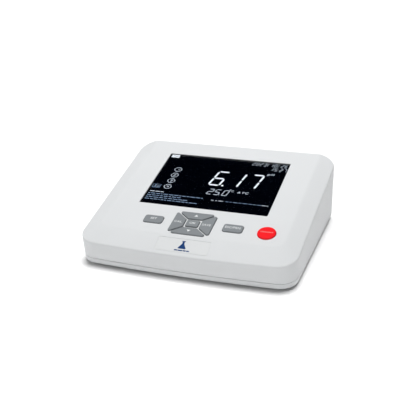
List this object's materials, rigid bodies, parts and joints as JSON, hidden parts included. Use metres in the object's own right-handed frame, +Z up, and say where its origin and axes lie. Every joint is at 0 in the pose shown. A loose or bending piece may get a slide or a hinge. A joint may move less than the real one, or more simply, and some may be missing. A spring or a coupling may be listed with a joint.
{
  "type": "benchtop pH meter",
  "caption": "Wedge-shaped benchtop pH meter: sloping panel, black segment display, arrow keys round OK, red power key, electrode sockets at the back.",
  "frame": {"origin": "on the bench, at the middle of the footprint including the sockets at the back", "axes": "+X to the user's right, +Y from the front edge to the back, +Z up"},
  "size_m": [0.2416, 0.2036, 0.0744],
  "materials": {
    "housing_plastic": "fine matt texture, warm light grey",
    "panel_plastic": "matt grey",
    "key_grey": "satin",
    "key_red": "satin",
    "window_clear": "polished",
    "lcd_glass": "polished, black when off",
    "adhesive": "matt",
    "white_plastic": "matt",
    "conductive_rubber": "matt",
    "silicone": "matt",
    "board_green": "satin solder mask",
    "black_plastic": "matt",
    "insert_plastic": "satin",
    "tin_plate": "satin",
    "ribbon": "satin",
    "nickel": "bright nickel",
    "gold_plate": "gold plated",
    "screw_steel": "zinc plated",
    "foot_rubber": "matt",
    "label_film": "satin film",
    "display_light": "lit segments of the display"
  },
  "bodies": {
    "housing": {"backlight_strip": "board_green", "bnc_contact": "gold_plate", "bnc_insulator": "insert_plastic", "bnc_nut": "nickel", "bnc_shell": "nickel", "bnc_washer": "nickel", "board_screws": "screw_steel", "buzzer": "black_plastic", "capacitors": "tin_plate", "carbon_pills": "conductive_rubber", "cell_holder": "black_plastic", "coin_cell": "tin_plate", "connector_strip": "conductive_rubber", "crystal_can": "tin_plate", "diffuser_sheet": "white_plastic", "display_holder": "white_plastic", "display_window": "window_clear", "foot_back_left": "foot_rubber", "foot_back_right": "foot_rubber", "foot_front_left": "foot_rubber", "foot_front_right": "foot_rubber", "front_board": "board_green", "front_label": "label_film", "housing_screws": "screw_steel", "input_coax": "black_plastic", "key_mat": "silicone", "lcd_front_glass": "lcd_glass", "lcd_rear_glass": "lcd_glass", "light_guide": "white_plastic", "lower_housing": "housing_plastic", "main_board": "board_green", "main_board_screws": "screw_steel", "power_jack": "black_plastic", "power_pin": "nickel", "processor_chip": "black_plastic", "rating_plate": "label_film", "rear_panel": "panel_plastic", "rear_panel_screws": "screw_steel", "reference_body": "black_plastic", "reference_sleeve": "gold_plate", "ribbon_cable": "ribbon", "ribbon_sockets": "black_plastic", "shield_can": "tin_plate", "small_chips": "black_plastic", "socket_nuts": "nickel", "temperature_contact": "gold_plate", "temperature_insulator": "black_plastic", "temperature_shell": "nickel", "upper_housing": "housing_plastic", "usb_insert": "insert_plastic", "usb_shell": "nickel", "window_tape": "adhesive"},
    "key_down": {"key_down": "key_grey"},
    "key_left": {"key_left": "key_grey"},
    "key_ok": {"key_ok": "key_grey"},
    "key_power": {"key_power": "key_red"},
    "key_print": {"key_print": "key_grey"},
    "key_right": {"key_right": "key_grey"},
    "key_set": {"key_set": "key_grey"},
    "key_up": {"key_up": "key_grey"}
  },
  "joints": [
    {"name": "press_down", "type": "slide", "parent": "housing", "child": "key_down", "axis": [0, 0.2079, -0.9781], "range_m": [0, 0.001], "stiffness_N_per_m": 900, "springref_m": -0.0005},
    {"name": "press_left", "type": "slide", "parent": "housing", "child": "key_left", "axis": [0, 0.2079, -0.9781], "range_m": [0, 0.001], "stiffness_N_per_m": 900, "springref_m": -0.0005},
    {"name": "press_ok", "type": "slide", "parent": "housing", "child": "key_ok", "axis": [0, 0.2079, -0.9781], "range_m": [0, 0.001], "stiffness_N_per_m": 900, "springref_m": -0.0005},
    {"name": "press_power", "type": "slide", "parent": "housing", "child": "key_power", "axis": [0, 0.2079, -0.9781], "range_m": [0, 0.001], "stiffness_N_per_m": 900, "springref_m": -0.0005},
    {"name": "press_print", "type": "slide", "parent": "housing", "child": "key_print", "axis": [0, 0.2079, -0.9781], "range_m": [0, 0.001], "stiffness_N_per_m": 900, "springref_m": -0.0005},
    {"name": "press_right", "type": "slide", "parent": "housing", "child": "key_right", "axis": [0, 0.2079, -0.9781], "range_m": [0, 0.001], "stiffness_N_per_m": 900, "springref_m": -0.0005},
    {"name": "press_set", "type": "slide", "parent": "housing", "child": "key_set", "axis": [0, 0.2079, -0.9781], "range_m": [0, 0.001], "stiffness_N_per_m": 900, "springref_m": -0.0005},
    {"name": "press_up", "type": "slide", "parent": "housing", "child": "key_up", "axis": [0, 0.2079, -0.9781], "range_m": [0, 0.001], "stiffness_N_per_m": 900, "springref_m": -0.0005}
  ]
}
